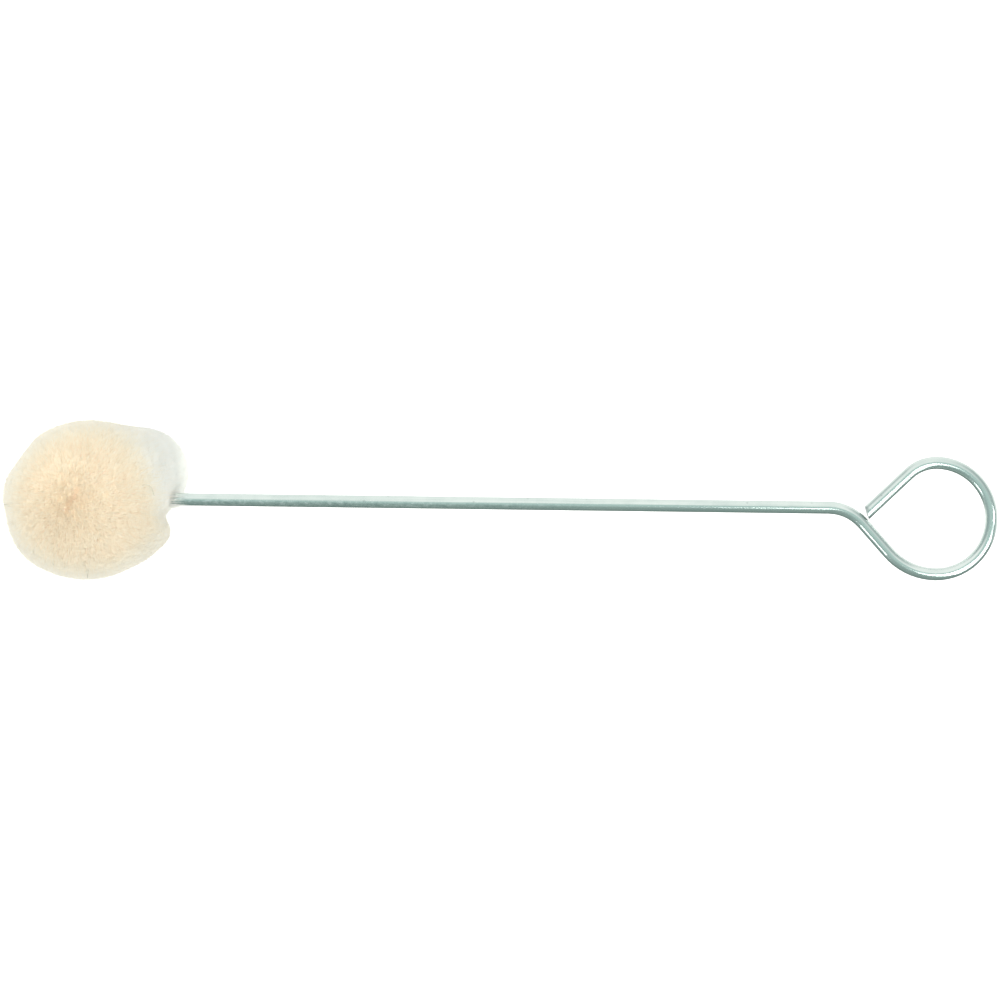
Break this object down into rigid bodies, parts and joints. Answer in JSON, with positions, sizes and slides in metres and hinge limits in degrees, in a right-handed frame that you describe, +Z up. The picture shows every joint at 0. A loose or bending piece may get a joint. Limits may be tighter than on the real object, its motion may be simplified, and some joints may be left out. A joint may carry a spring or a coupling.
{
  "type": "wool dauber",
  "caption": "Round sheepskin wool dauber on a slim bent wire handle that ends in a teardrop finger ring.",
  "frame": {"origin": "centre of the tool's outline, on the surface that it lies on", "axes": "+X along the tool from the wool ball to the finger ring, +Y across the ring towards its cut leg, +Z up"},
  "size_m": [0.1587, 0.0256, 0.0256],
  "materials": {
    "plated_wire": "bright zinc plating, drawn wire, cool greenish grey with long highlights",
    "hide_leather": "undyed sheepskin suede, pale tan",
    "staple_steel": "bright steel wire",
    "dried_cement": "dried contact cement, dull amber",
    "binding_thread": "waxed natural thread",
    "wool_pile": "natural cream wool pile, fine and silky, paler towards its edge"
  },
  "bodies": {
    "root": {"handle_wire": "plated_wire", "hide_strip": "hide_leather", "eye_staple": "staple_steel", "glue_fill": "dried_cement", "neck_binding": "binding_thread", "fleece_front": "wool_pile", "fleece_back": "wool_pile", "fleece_lobe": "wool_pile"}
  },
  "joints": []
}
